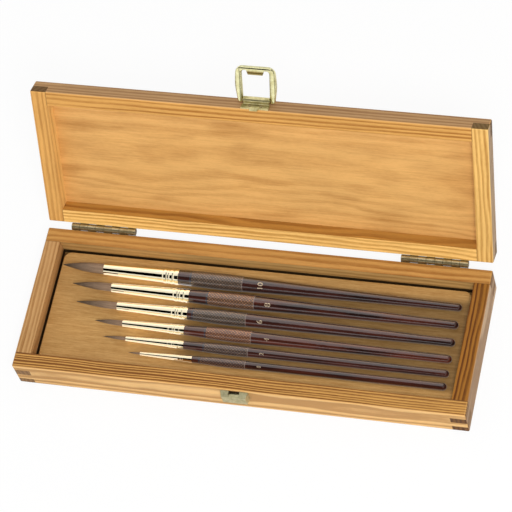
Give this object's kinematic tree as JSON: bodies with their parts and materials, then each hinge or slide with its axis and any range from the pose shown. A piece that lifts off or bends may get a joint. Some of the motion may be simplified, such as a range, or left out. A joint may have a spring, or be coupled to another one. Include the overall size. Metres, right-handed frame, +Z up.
{
  "type": "wooden brush set box",
  "caption": "Hinged wooden box with finger-jointed corners and a bail latch, open on a lift-out board that holds a graded set of round brushes.",
  "frame": {"origin": "centre of the base's underside", "axes": "+X along the box to the right, +Y to the hinged back, +Z up out of the base"},
  "size_m": [0.27, 0.1583, 0.1247],
  "materials": {
    "stained_pine": "satin",
    "panel_pine": "satin",
    "board_wood": "matte",
    "brass": "satin",
    "ferrule_metal": "polished",
    "handle_lacquer": "gloss",
    "hair": "matte"
  },
  "bodies": {
    "base": {"base_front_rail": "stained_pine", "base_back_rail": "stained_pine", "base_left_side": "stained_pine", "base_right_side": "stained_pine", "base_floor_panel": "panel_pine", "hinge_left_base_leaf": "brass", "hinge_right_base_leaf": "brass", "hinge_left_pin": "brass", "hinge_right_pin": "brass", "base_hinge_screws": "brass", "latch_catch": "brass"},
    "lid": {"lid_front_rail": "stained_pine", "lid_back_rail": "stained_pine", "lid_left_side": "stained_pine", "lid_right_side": "stained_pine", "lid_panel": "panel_pine", "hinge_left_lid_leaf": "brass", "hinge_right_lid_leaf": "brass", "lid_hinge_screws": "brass", "latch_plate": "brass", "latch_nails": "brass"},
    "bail": {"latch_bail": "brass"},
    "tray": {"insert_board": "board_wood"},
    "brush_10": {"brush_10_handle": "handle_lacquer", "brush_10_ferrule": "ferrule_metal", "brush_10_hair": "hair"},
    "brush_8": {"brush_8_handle": "handle_lacquer", "brush_8_ferrule": "ferrule_metal", "brush_8_hair": "hair"},
    "brush_6": {"brush_6_handle": "handle_lacquer", "brush_6_ferrule": "ferrule_metal", "brush_6_hair": "hair"},
    "brush_4": {"brush_4_handle": "handle_lacquer", "brush_4_ferrule": "ferrule_metal", "brush_4_hair": "hair"},
    "brush_2": {"brush_2_handle": "handle_lacquer", "brush_2_ferrule": "ferrule_metal", "brush_2_hair": "hair"},
    "brush_0": {"brush_0_handle": "handle_lacquer", "brush_0_ferrule": "ferrule_metal", "brush_0_hair": "hair"}
  },
  "joints": [
    {"name": "lid_hinge", "type": "hinge", "parent": "base", "child": "lid", "pos_m": [0, 0.04865, 0.02115], "axis": [1, 0, 0], "range_deg": [0, 115]},
    {"name": "bail_swing", "type": "hinge", "parent": "lid", "child": "bail", "pos_m": [0, 0.09582, 0.10657], "axis": [1, 0, 0], "range_deg": [0, 98]},
    {"name": "tray_lift", "type": "slide", "parent": "base", "child": "tray", "axis": [0, 0, -1], "range_m": [-0.12, 0]},
    {"name": "brush_10_lift", "type": "slide", "parent": "tray", "child": "brush_10", "axis": [0, 0, -1], "range_m": [-0.13, 0]},
    {"name": "brush_8_lift", "type": "slide", "parent": "tray", "child": "brush_8", "axis": [0, 0, -1], "range_m": [-0.13, 0]},
    {"name": "brush_6_lift", "type": "slide", "parent": "tray", "child": "brush_6", "axis": [0, 0, -1], "range_m": [-0.13, 0]},
    {"name": "brush_4_lift", "type": "slide", "parent": "tray", "child": "brush_4", "axis": [0, 0, -1], "range_m": [-0.13, 0]},
    {"name": "brush_2_lift", "type": "slide", "parent": "tray", "child": "brush_2", "axis": [0, 0, -1], "range_m": [-0.13, 0]},
    {"name": "brush_0_lift", "type": "slide", "parent": "tray", "child": "brush_0", "axis": [0, 0, -1], "range_m": [-0.13, 0]}
  ]
}
